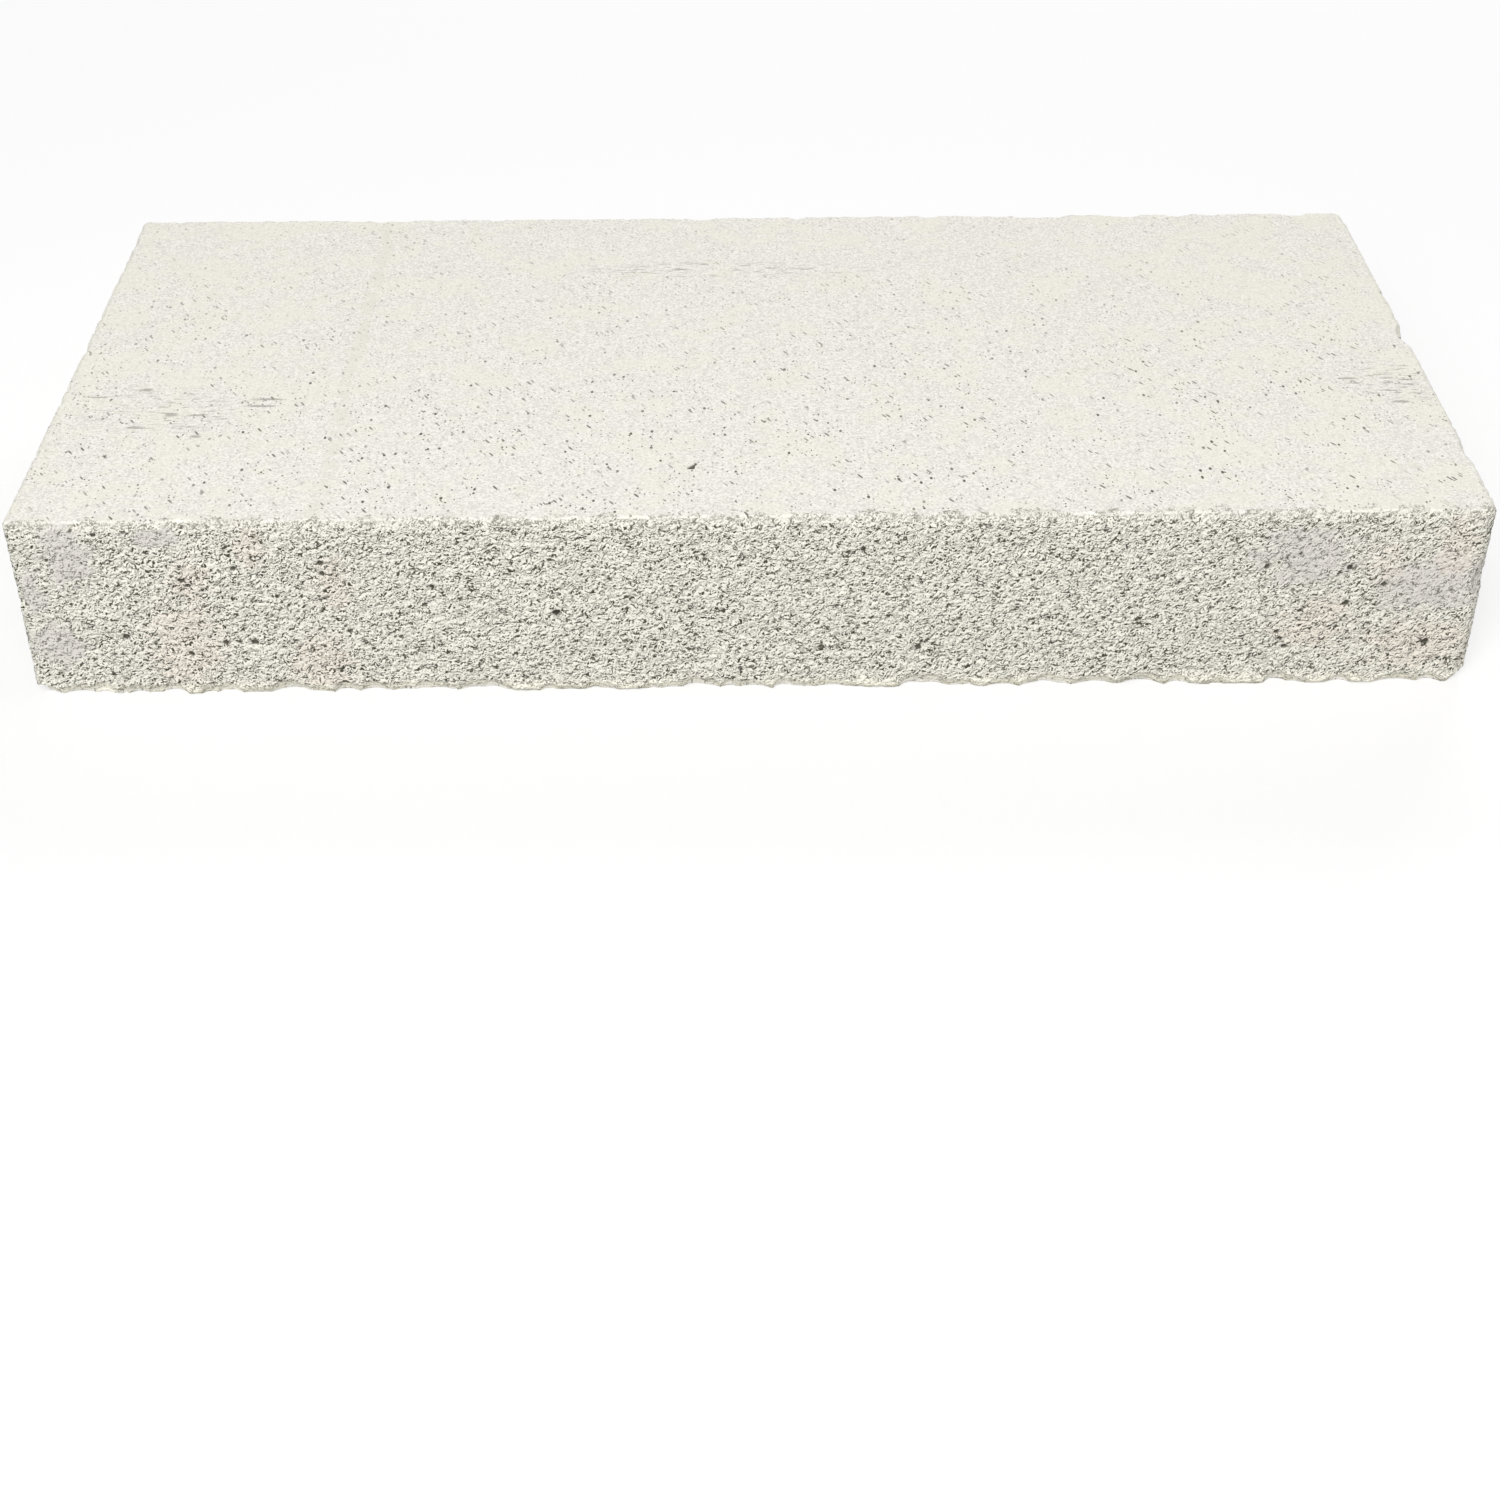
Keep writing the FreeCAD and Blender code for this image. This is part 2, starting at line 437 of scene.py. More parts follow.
def patches(skin, rough):
    """How lilac and how pink each rough point is."""
    points = skin.points[rough]
    edge = PATCH_RAGGED * RELIEF["patch"](points / BUMPS["patch"])
    edge += PATCH_RAGGED * RELIEF["tint"](points / BUMPS["tint"])
    tints = {}
    for tint, named in (("lilac", FRONT_LILAC), ("pink", FRONT_PINK)):
        random = np.random.default_rng(SEED + len(tint))
        boxes = [
            ((x, LOW[1], z), (half_x, PATCH_DEPTH, half_z))
            for x, z, half_x, half_z in named.values()
        ]
        for axis, face in ((1, HIGH[1]), (0, LOW[0]), (0, HIGH[0])):
            run = 1 - axis
            length = HIGH[run] - LOW[run]
            for _ in range(round(PATCHES_HIDDEN[tint] * length / (HIGH[0] - LOW[0]))):
                middle = random.uniform(LOW, HIGH)
                half = np.full(3, random.uniform(*PATCH_HALF))
                middle[axis] = face
                half[axis] = PATCH_DEPTH
                half[2] *= PATCH_HEIGHT
                boxes.append((middle, half))
        tints[tint] = np.zeros(len(points))
        for middle, half in boxes:
            reach = np.linalg.norm((points - middle) / half, axis=1) + edge
            tints[tint] = np.maximum(tints[tint], smooth(*PATCH_EDGE, reach))
    return tints["lilac"], tints["pink"]


# The grain of the torn sides lies level, and rises ever more steeply towards the right end
DIP = 0.0012

# Crumbs of the torn sides: their two sizes share a depth, and both lie on broad waves
BENT = 0.4  # how far the noises bend the grain
SWAY_APART = (31.7, 57.3)  # where in its noise the grain's sway along and across begins
ROUND = 0.5  # how high a crumb's noise rises before the crumb is full
CRUMB_DEEP = 0.32
COARSE_SHARE, FINE_SHARE = 0.45, 0.55
BROAD_DEEP = 0.2
LEAST_DEEP = 0.22
CALM = 0.75  # how much of the crumbs a lilac patch smooths away
CALM_DEEP = 0.12  # and how much deeper it lies


def side_relief(points, calm):
    """How far the torn sides lie inside the block, in millimetres."""
    bend = RELIEF["bend"]
    along, across = (bend(points / BUMPS["sway"] + apart) for apart in SWAY_APART)
    flow = points.copy()
    flow[:, 2] += BENT * bend(points / BUMPS["bend"]) - DIP * np.maximum(points[:, 0], 0) ** 2
    flow[:, 0] += BENT * along
    flow[:, 1] += BENT * across
    coarse = smooth(0.0, ROUND, np.abs(RELIEF["coarse"](flow / BUMPS["coarse"])))
    fine = smooth(0.0, ROUND, np.abs(RELIEF["fine"](flow / BUMPS["fine"])))
    broad = RELIEF["broad"](points / BUMPS["broad"])
    crumbs = CRUMB_DEEP * (1 - COARSE_SHARE * coarse - FINE_SHARE * fine)
    return LEAST_DEEP + crumbs * (1 - CALM * calm) + BROAD_DEEP * broad + CALM_DEEP * calm


# Pits in the upper bed: where along and across it, and how wide and deep
BED_PITS = {
    "large_front": (-9.6, -41.0, 0.9, 0.7),
    "large_middle": (-9.3, -40.4, 1.0, 1.0),
    "large": (-9.0, -39.8, 1.0, 1.0),
    "large_back": (-8.8, -39.3, 0.9, 0.7),
    "right": (29.6, -18.4, 1.0, 0.6),
    "back_left": (-37.3, 20.7, 1.0, 0.6),
    "back_left_end": (-36.6, 20.5, 0.9, 0.5),
    "left": (-102.8, -35.1, 0.9, 0.6),
    "left_end": (-102.4, -35.9, 0.9, 0.6),
    "back_right": (65.6, 20.9, 1.0, 0.5),
    "far_right": (79.4, 24.2, 0.9, 0.5),
    "middle": (3.4, -10.6, 0.8, 0.5),
}

# Pores in the torn sides: on the front, where along and up it, and how wide and deep
FRONT_PORES = {
    "corner": (-100.6, 30.0, 0.9, 0.8),
    "left_low": (-98.4, 11.1, 1.1, 0.8),
    "left": (-88.6, 7.9, 0.9, 0.9),
    "left_high": (-88.3, 21.3, 1.0, 0.8),
    "left_high_end": (-87.4, 20.6, 0.9, 0.8),
    "dot": (-83.8, 20.9, 0.8, 0.7),
    "flat_left": (-82.8, 9.9, 1.0, 0.7),
    "arris_left": (-80.0, 23.4, 1.0, 0.7),
    "flat_right": (-78.3, 9.8, 1.1, 0.8),
    "tinge": (-66.6, 24.2, 1.0, 0.8),
    "tinge_foot": (-66.4, 22.3, 0.9, 0.7),
    "small": (-49.8, 20.0, 0.9, 0.7),
    "dark": (-30.7, 14.8, 1.2, 1.0),
    "pale_left": (10.8, 8.1, 1.1, 0.5),
    "pale_right": (13.4, 7.8, 1.1, 0.5),
    "high_left": (14.8, 25.4, 0.9, 0.6),
    "high_right": (17.0, 25.9, 1.0, 0.7),
    "brown": (26.1, 7.7, 1.1, 0.8),
    "upper": (74.4, 27.3, 0.9, 0.6),
    "lilac_side": (79.7, 21.9, 1.2, 0.7),
    "lilac_speck": (82.7, 23.7, 0.8, 0.5),
    "lilac_dot": (84.7, 24.3, 0.8, 0.6),
    "slit_top": (82.7, 10.0, 0.9, 0.7),
    "slit": (83.4, 8.7, 0.9, 0.7),
    "slit_foot": (84.2, 7.3, 0.9, 0.8),
    "wedge": (92.5, 21.8, 1.0, 0.8),
    "right": (92.8, 15.2, 1.1, 0.8),
    "pink": (98.2, 18.7, 1.0, 0.7),
    "olive": (106.4, 8.0, 1.3, 0.9),
}
PORES_PER_SIDE = 90  # chance ones on a long side
PORE_WIDE = (0.4, 0.9)
PORE_DEEP = (0.3, 0.6)
PORE_MARGIN = 1.0  # how far from the side's edges they keep


def add_pores(skin):
    """Sink the pits and pores, and say how deep each point lies in one."""
    random = np.random.default_rng(SEED + 1)
    hole = np.zeros(len(skin.points))
    pores = [((x, LOW[1], z), wide, deep, 1) for x, z, wide, deep in FRONT_PORES.values()]
    pores += [((x, y, HIGH[2]), wide, deep, 2) for x, y, wide, deep in BED_PITS.values()]
    for axis in range(2):
        length = HIGH[1 - axis] - LOW[1 - axis]
        for face in (LOW[axis], HIGH[axis]):
            for _ in range(round(PORES_PER_SIDE * length / (HIGH[0] - LOW[0]))):
                middle = random.uniform(LOW + PORE_MARGIN, HIGH - PORE_MARGIN)
                middle[axis] = face
                wide, deep = random.uniform(*PORE_WIDE), random.uniform(*PORE_DEEP)
                pores.append((middle, wide, deep, axis))
    for middle, wide, deep, axis in pores:
        middle = np.array(middle)
        around = np.linalg.norm(skin.home - middle, axis=1) < wide
        if not around.any():
            continue
        surface = skin.points[around].mean(axis=0)
        outward = 1 if middle[axis] > 0 else -1
        off = ((wide / 2) ** 2 - deep ** 2) / (2 * deep)
        surface[axis] += outward * off
        touched, step = skin.scoop(surface, math.hypot(wide / 2, off))
        hole[touched] += step
    return hole


# Where the torn sides meet the beds: two waves of that edge, as how far and how wide, and
# how far in from the side the relief has ended and is full
EDGE_WAVES = ((0.35, 2.5), (0.2, 0.9))
EDGE_FADE = (1.1, 0.3)

# Share of the relief that is missing near an upright arris and under the upper bed at the
# ends, and from how far off, in millimetres, to how near that grows
UPRIGHT_CALM, UPRIGHT_FADE = 0.45, (5.0, 1.0)
END_CALM, END_FADE = 0.6, (3.0, 1.0)


def build_brick():
    """The whole brick as one closed mesh."""
    skin = Skin()
    skin.drop_to_solid()
    bite_arrises(skin)
    wobble = sum(far * RELIEF["edge"](skin.points / wide) for far, wide in EDGE_WAVES)
    torn = smooth(*EDGE_FADE, skin.from_side + wobble)
    rough = np.flatnonzero(torn > 0)
    lilac, pink, depth = (np.zeros(len(torn)) for _ in range(3))
    lilac[rough], pink[rough] = patches(skin, rough)
    depth[rough] = torn[rough] * side_relief(skin.points[rough], lilac[rough])
    depth *= 1 - UPRIGHT_CALM * smooth(*UPRIGHT_FADE, skin.from_upright)
    depth *= 1 - END_CALM * skin.on_end * smooth(*END_FADE, HIGH[2] - skin.home[:, 2])
    skin.points += skin.inward * depth[:, None]
    hole = add_pores(skin)
    mesh = bpy.data.meshes.new(NODE + "_lattice")
    mesh.vertices.add(len(skin.points))
    mesh.vertices.foreach_set("co", (skin.points * MM).ravel())
    mesh.loops.add(skin.quads.size)
    mesh.loops.foreach_set("vertex_index", skin.quads.ravel())
    mesh.polygons.add(len(skin.quads))
    mesh.polygons.foreach_set("loop_start", np.arange(0, skin.quads.size, 4))
    mesh.update(calc_edges=True)
    mesh.validate()
    # The lilac and pink tints, and the depth in pits and pores for their painted shade, are kept
    # at the points
    for name, values in (("lilac", lilac), ("pink", pink), ("hole", hole)):
        layer = mesh.attributes.new(name, "FLOAT", "POINT")
        layer.data.foreach_set("value", values.astype(np.float32))
    return mesh


def decimate(mesh):
    """Thin the lattice where it is flat, down to the triangles that the piece may have."""
    raw = bpy.data.objects.new("lattice", mesh)
    bpy.context.scene.collection.objects.link(raw)
    thin = raw.modifiers.new("thin", "DECIMATE")
    thin.ratio = TRIANGLES / (2 * len(mesh.polygons))
    thin.use_collapse_triangulate = True
    depsgraph = bpy.context.evaluated_depsgraph_get()
    result = bpy.data.meshes.new_from_object(raw.evaluated_get(depsgraph))
    bpy.data.objects.remove(raw)
    return result


def read(elements, name, width=1, kind=float):
    """What each point, corner or face of a mesh holds by a name: a value, or a row of them."""
    values = np.empty(len(elements) * width, dtype=kind)
    elements.foreach_get(name, values)
    return values.reshape(-1, width) if width > 1 else values


# Where each face of the box lies in the brick's UV map: left, bottom, width and height
# there, and the axes that run along those
LEFT_END, RIGHT_END, FRONT, BACK, LOWER_BED, UPPER_BED = range(6)
CHARTS = {
    LEFT_END: (0.0, 0.0, 0.5, 0.139, 1, 2),
    RIGHT_END: (0.5, 0.0, 0.5, 0.139, 1, 2),
    FRONT: (0.0, 0.139, 1.0, 0.139, 0, 2),
    BACK: (0.0, 0.278, 1.0, 0.139, 0, 2),
    LOWER_BED: (0.0, 0.417, 1.0, 0.2915, 0, 1),
    UPPER_BED: (0.0, 0.7085, 1.0, 0.2915, 0, 1),
}
CHART_MARGIN = 0.003
TURN_WORTH = 1.5  # how many millimetres nearer a face counts for facing its way


def lay_out(mesh):
    """Map each triangle to the face of the box that it lies nearest to and faces most."""
    count = len(mesh.polygons)
    corners = read(mesh.loops, "vertex_index", kind=np.int32)
    centres = read(mesh.polygons, "center", 3) / MM
    normals = read(mesh.polygons, "normal", 3)
    below = centres - LOW + TURN_WORTH * normals
    above = HIGH - centres - TURN_WORTH * normals
    nearest = np.stack([below, above], axis=2).reshape(count, 6).argmin(axis=1)
    chart = np.repeat(nearest, len(corners) // count)
    share = ((read(mesh.vertices, "co", 3) / MM - LOW) / (HIGH - LOW))[corners]
    places = np.empty((len(corners), 2))
    for face, (left, bottom, width, height, across, up) in CHARTS.items():
        here = chart == face
        places[here, 0] = left + CHART_MARGIN + share[here, across] * (width - 2 * CHART_MARGIN)
        places[here, 1] = bottom + CHART_MARGIN + share[here, up] * (height - 2 * CHART_MARGIN)
    layer = mesh.uv_layers.new(name="OFBake")
    layer.data.foreach_set("uv", places.ravel())


def weigh_normals(mesh):
    """Give each point the direction of its faces by their area, so that flat parts look flat."""
    corners = read(mesh.loops, "vertex_index", kind=np.int32)
    weighted = read(mesh.polygons, "normal", 3) * read(mesh.polygons, "area")[:, None]
    total = np.zeros((len(mesh.vertices), 3))
    np.add.at(total, corners, np.repeat(weighted, len(corners) // len(weighted), axis=0))
    total /= np.linalg.norm(total, axis=1, keepdims=True)
    mesh.normals_split_custom_set_from_vertices(total)


def keep_in_box(mesh):
    """Bring back inside the box what the thinning moved past it."""
    points = np.clip(read(mesh.vertices, "co", 3), LOW * MM, HIGH * MM)
    mesh.vertices.foreach_set("co", points.ravel())
    mesh.update()


# The fired clay, with lengths in millimetres. A pair called EDGE says where a pattern
# begins or ends, and where it is full.
ROUGHNESS = 0.92
SPECULAR_LEVEL = 0.25
CLAY = (0.905, 0.88, 0.82, 1.0)
DULL_CLAY = (0.71, 0.69, 0.635, 1.0)
YELLOW_CLAY = (0.84, 0.815, 0.695, 1.0)
VEIN_CLAY = (0.76, 0.74, 0.65, 1.0)
SPECK = (0.13, 0.122, 0.10, 1.0)
# A shaded and a lit copy of the torn sides' clay, for painted shade and painted highlight
SHADED_TORN_CLAY = (0.575, 0.559, 0.492, 1.0)
LIT_TORN_CLAY = (0.80, 0.783, 0.703, 1.0)
# Painted bounce light on the foot of the torn sides
BOUNCE_LIGHT_CREAM = (0.96, 0.93, 0.80, 1.0)
# Painted shade under the lumps, in gouges and in pits and pores
PAINTED_SHADE_CLAY = (0.055, 0.052, 0.036, 1.0)
# Stain at the very bottom, partly real and partly painted contact shadow
STAIN_AND_SHADOW_CLAY = (0.35, 0.33, 0.23, 1.0)
LILAC = (0.618, 0.594, 0.561, 1.0)
PINK = (0.77, 0.675, 0.595, 1.0)
HALF_WIDTH = float(HIGH[1])
THICKNESS = float(HIGH[2])

# How much of what lies under it each tint, stain, mark, painted light and painted shade hides
HIDES = {
    "lilac": 0.86,
    "pink": 0.45,
    "bounce_light": 0.7,
    "stain_and_shadow": 0.6,
    "hole": 0.9,
    "blotch": 0.45,
    "vein": 0.6,
    "scuff": 0.55,
    "scratch": 0.5,
    "fine": 0.85,
    "dash": 0.85,
}

# Where in its noise or cells each pattern begins, so that no two show the same lumps
APART = {
    "gouged": (7.3, 1.9, 4.1),
    "gouge_shade": (3.0, 29.0, 1.0),
    "grit": (3.0, 1.0, 8.0),
    "flakes": (5.0, 11.0, 2.0),
    "small_crumbs": (17.0, 5.0, 9.0),
    "busy": (5.0, 2.0, 7.0),
    "dots": (3.0, 5.0, 0.7),
}

# Lumps of the torn sides: how wide each kind is, and its share of the height that the painted
# shade and painted highlight are worked out from
CRUMBS, SMALL_CRUMBS, FLAKES, GRIT = 0.85, 0.38, 1.8, 0.17
CRUMBS_HIGH, SMALL_CRUMBS_HIGH, FLAKES_HIGH, GRIT_HIGH = 0.45, 0.5, 0.45, 0.7
GRAVEL_HIGH = 0.95  # the crumbs and the grit together
GRIT_STRETCH = (1.6, 1.6, 1.0)
CRUMB_EDGE = (0.65, 0.3)  # as shares of a crumb's size

# The grain of the torn sides is stirred twice, each time in patches this wide and this far
STIRRED = ((2.0, 1.2), (0.6, 0.5))
GRAIN_STRETCH = (1.0, 1.0, 1.1)
LEDGE = (-0.09, -0.06, 0.23)  # from a point of the torn sides to what may shade it, for the painted shade and painted highlight
LEDGE_HIGHLIGHT = (0.18, -0.2)  # how much higher than the point that is, for the painted shade's dull colour and for the painted highlight
LEDGE_SHADE = (0.07, 0.18)  # and for the first painted shade and for full painted shade
BUSY_SIZE = 0.9  # how wide the areas with more and with less painted shade are
BUSY_EDGE = (0.40, 0.56)
BUSY_LEAST = 0.3  # how much painted shade is left in the calmest of them
LILAC_SHADE_AND_RELIEF = 0.75  # how much of the painted shade and of the fine relief a lilac patch keeps

# Painted shade in gouges of the torn sides, and the areas that have them
GOUGE_STRETCH = (0.6, 0.6, 1.1)
GOUGES = {"size": 1.3, "edge": (0.03, 0.0075)}
GOUGED = {"size": 1.69, "edge": (0.52, 0.60)}

# The foot of the torn sides, up to these heights: a pale yellow band of painted bounce light, and
# at the very bottom a stain that is partly real and partly painted contact shadow
FOOT_HEIGHTS = (3.6, 1.6)
FOOT_WAVES = {"size": 3.0, "high": 1.5}
FOOT_SHADE_KEPT = 0.6  # how much of the painted shade it keeps
STAIN_AND_SHADOW_HEIGHTS = (0.8, 0.4)
STAIN_AND_SHADOW_WAVES = {"size": 1.5, "high": 0.6}
TOP_ZONE = 1.8  # how far under the upper bed the painted shade begins to fade
TOP_SHADE_KEPT = 0.5  # how much of it is left at the bed
FINE_RELIEF = {"size": 0.5, "high": 0.35}

# Specks of the beds: one at most in each cell, in a share of the cells, up to a radius
SPECKS = {
    "fine": {"cell": 0.9, "radius": 0.21, "share": 0.7},
    "dots": {"cell": 2.2, "radius": 0.38, "share": 0.5},
    "dashes": {"cell": 1.4, "radius": 0.26, "share": 0.7},
}
SMALL_SPECKS = 1.7  # the power that makes small specks more common than large ones
SPECK_RIM = 0.3  # how soft their rims are, as a share of the radius
SPECKS_STIRRED = (1.0, 0.4)  # the fine ones are stirred, in patches this wide and this far
FINE_STRETCH = (1.2, 0.8, 1.0)
DOTS_STRETCH = (1.3, 0.75, 1.0)
DASHES_STRETCH = (0.3, 1.2, 1.0)
DASHES_TURN = math.radians(58.0)
CROWD_SIZE = 6.0  # how wide the areas with darker and with paler specks are
CROWD_EDGE = (0.40, 0.60)
CROWD_LEAST = 0.25  # how dark the specks are in the palest of them
CROWD_FROM_BACK = {"at": (60.0, -50.0), "share": (0.4, 1.1)}  # and paler towards the back

# Scuffed areas of the upper bed and scratches in it: middle and half size along and across
SCUFFS = {
    "left": (-95.0, -20.5, 15.0, 9.5),
    "right": (107.0, -13.5, 10.0, 9.0),
    "middle": (-4.0, 33.0, 34.0, 4.0),
}
SCRATCHES = {
    "left_edge": (-107.1, -15.4, 2.6, 0.4),
    "left_high": (-100.1, -13.0, 1.8, 0.6),
    "left_low": (-100.1, -26.1, 1.9, 0.4),
    "left": (-94.6, -21.8, 1.4, 0.7),
    "left_dark": (-90.2, -22.2, 2.3, 0.5),
    "left_foot": (-89.5, -29.4, 1.0, 0.5),
    "left_thin": (-80.2, -16.6, 3.2, 0.4),
    "left_far": (-80.5, -19.2, 2.5, 0.5),
    "right": (100.9, -12.4, 2.2, 0.4),
    "right_far": (106.7, -12.5, 1.6, 0.4),
    "right_low": (107.3, -20.9, 2.0, 0.4),
}
STREAK_STRETCH = (0.22, 1.5, 1.0)
STREAK_SIZE = 0.7
STREAK_EDGE = (0.43, 0.34)
SCRATCH_RAGGED = 3.0  # how much the streaks break the rim of a scratch
OVAL_EDGE = (1.1, 0.4)  # as shares of a mark's half size

# Tones of the beds: a fine mottle, yellow blotches and one faint yellow line across
MOTTLE_SIZE = 0.4
MOTTLE_EDGE = (0.35, 0.65)
BLOTCH_SIZE = 10.0
BLOTCH_SIDES = {"from_to": (40.0, 105.0), "more": 0.06}  # more of them towards the ends
BLOTCH_EDGE = (0.52, 0.60)
VEIN_AT = -67.0
VEIN_WAVES = {"size": 9.0, "far": 3.6}
VEIN_EDGE = (1.8, 0.4)
VEIN_GAPS = {"size": 4.0, "edge": (0.35, 0.55)}

# Where the torn finish ends: how wide its noise is and how far it reaches
RAGGED = {"size": 4.0, "far": 13.0}
FRONT_EDGE = (1.5, 1.0)  # how far in from the front side, with that noise
FRONT_LEAST = (1.0, 0.6)  # and without it

# The rim of bed finish on the back and the ends: its width, and its share of that noise
RIM = {"wide": 1.1, "ragged": 0.15}
RIM_FADE = (0.8, 3.0)  # how far in from the front side the rim begins and is full
RIM_EDGE = (0.2, 0.6)
HOLE_DEPTHS = (0.15, 0.5)  # how deep a hole begins to take painted shade, and is fully shaded


def noise(place, size, detail=2.0, roughness=0.5, output="Fac"):
    """Soft random patches, about one for each size."""
    return node(
        place.tree, "ShaderNodeTexNoise", place, None, 1 / size, detail, roughness, output=output,
    )


def shaken(place, size, reach):
    """This place moved about at random, as if the pattern on it were stirred."""
    stir = noise(place, size, detail=1.0, output="Color").moved((-0.5, -0.5, -0.5))
    return place.moved(stir.scaled((reach,) * 3))


def blend(tree, share, under, over):
    """One colour over another by a share."""
    made = tree.nodes.new("ShaderNodeMix")
    made.data_type = "RGBA"
    for name, value in (("Factor_Float", share), ("A_Color", under), ("B_Color", over)):
        socket = next(s for s in made.inputs if s.identifier == name)
        if isinstance(value, Field):
            tree.links.new(value.socket, socket)
        else:
            socket.default_value = value
    output = next(s for s in made.outputs if s.identifier == "Result_Color")
    return Field(tree, output)


def axes(place):
    """The three coordinates of a place."""
    return (node(place.tree, "ShaderNodeSeparateXYZ", place, output=axis) for axis in range(3))


def painted(tree, name):
    """A value that the mesh holds at its points."""
    return node(tree, "ShaderNodeAttribute", attribute_name=name, output="Fac")


def gouge_shade_lines(place):
    """Painted shade of gouges, as short winding lines: where one noise crosses its middle, and
    another is high.
    """
    line = abs(noise(place, GOUGES["size"], detail=1.0) - 0.5).ease(*GOUGES["edge"])
    return line * noise(place.moved(APART["gouged"]), GOUGED["size"]).ease(*GOUGED["edge"])


def crumbs(place, size):
    """Rounded crumbs about one size across, as a height from nought to one."""
    far = node(place.tree, "ShaderNodeTexVoronoi", place, None, 1 / size, output="Distance")
    return far.ease(*CRUMB_EDGE)


def gravel(place):
    """Crumbs with grit on them, as a height over nought."""
    grit = noise(place.scaled(GRIT_STRETCH).moved(APART["grit"]), GRIT, detail=1.0)
    return crumbs(place, CRUMBS) * CRUMBS_HIGH + grit * GRIT_HIGH


def flakes(place, size):
    """Torn flakes about one size across, each at a chance height from nought to one."""
    chance = node(place.tree, "ShaderNodeTexVoronoi", place, None, 1 / size, output="Color")
    return node(place.tree, "ShaderNodeSeparateColor", chance)


def lumps(place):
    """The gravel, on torn flakes and with smaller crumbs, as a height over nought."""
    large = flakes(place.moved(APART["flakes"]), FLAKES)
    small = crumbs(place.moved(APART["small_crumbs"]), SMALL_CRUMBS)
    return gravel(place) * GRAVEL_HIGH + large * FLAKES_HIGH + small * SMALL_CRUMBS_HIGH


def specks(place, cell, radius, share):
    """Scattered specks: up to one in each cell, in a share of the cells, up to a radius."""
    tree = place.tree
    cells = tree.nodes.new("ShaderNodeTexVoronoi")
    cells.voronoi_dimensions = "2D"
    cells.inputs["Scale"].default_value = 1 / cell
    tree.links.new(place.socket, cells.inputs["Vector"])
    distance = Field(tree, cells.outputs["Distance"])
    chance = node(tree, "ShaderNodeSeparateColor", Field(tree, cells.outputs["Color"]))
    size = chance.ease(1 - share, 1.0).power(SMALL_SPECKS) * (radius / cell)
    return (size - distance).ease(0.0, radius / cell * SPECK_RIM)


def torn_finish(tree, here):
    """Colour and fine relief of the torn sides: pale lumps with painted highlights on them and
    painted shade under them and in gouges, with painted bounce light and a partly painted contact
    shadow at the foot.
    """
    x, y, z = axes(here)
    lilac, pink = (painted(tree, name) for name in ("lilac", "pink"))
    grain = node(tree, "ShaderNodeCombineXYZ", x, y, z - x.above(0.0).power(2.0) * DIP)
    flow = shaken(grain, *STIRRED[0]).scaled(GRAIN_STRETCH)
    flow = shaken(flow, *STIRRED[1])
    # How much higher the lumps are at the point that may shade this one; the painted shade and
    # painted highlight follow it
    ledge = lumps(flow.moved(LEDGE)) - lumps(flow)
    # Painted shade in gouges
    gouge_shade = gouge_shade_lines(flow.scaled(GOUGE_STRETCH).moved(APART["gouge_shade"]))
    # How much of the painted shade and of the fine relief is kept: less in lilac patches
    shade_and_relief_kept = lilac.ease(0.0, 1.0, 1.0, LILAC_SHADE_AND_RELIEF)
    foot = (z + noise(here, FOOT_WAVES["size"]) * FOOT_WAVES["high"]).ease(*FOOT_HEIGHTS)
    stain_and_shadow = (z + noise(here, STAIN_AND_SHADOW_WAVES["size"]) * STAIN_AND_SHADOW_WAVES["high"]).ease(*STAIN_AND_SHADOW_HEIGHTS)

    busy = noise(here.moved(APART["busy"]), BUSY_SIZE, detail=1.0)
    busy = busy.ease(*BUSY_EDGE, BUSY_LEAST, 1.0)
    # Painted highlight on the tops of the lumps and painted shade under them
    colour = blend(tree, ledge.ease(*LEDGE_HIGHLIGHT), SHADED_TORN_CLAY, LIT_TORN_CLAY)
    colour = blend(tree, lilac * HIDES["lilac"], colour, LILAC)
    colour = blend(tree, pink * HIDES["pink"], colour, PINK)
    # Painted bounce light at the foot
    colour = blend(tree, foot * HIDES["bounce_light"], colour, BOUNCE_LIGHT_CREAM)
    # Stain at the very bottom, partly real and partly painted contact shadow
    colour = blend(tree, stain_and_shadow * HIDES["stain_and_shadow"], colour, STAIN_AND_SHADOW_CLAY)
    # Painted shade under the lumps and in the gouges: less in calm areas, lilac patches, the foot
    # and under the upper bed
    dark = (ledge.ease(*LEDGE_SHADE) * busy).above(gouge_shade) * shade_and_relief_kept
    dark = dark * foot.ease(0.0, 1.0, 1.0, FOOT_SHADE_KEPT)
    dark = dark * (z * -1.0).ease(-THICKNESS, TOP_ZONE - THICKNESS, TOP_SHADE_KEPT, 1.0)
    relief = noise(here, FINE_RELIEF["size"], detail=1.0) * FINE_RELIEF["high"] * shade_and_relief_kept
    return blend(tree, dark, colour, PAINTED_SHADE_CLAY), relief


def ovals(here, marks, rough):
    """Oval marks on the upper bed, with their rims broken by a roughness."""
    shown = None
    for along, across, half_along, half_across in marks.values():
        place = here.moved((-along, -across, -THICKNESS))
        place = place.scaled((1 / half_along, 1 / half_across, 1.0))
        mark = (place.length() + rough).ease(*OVAL_EDGE)
        shown = mark if shown is None else shown.above(mark)
    return shown


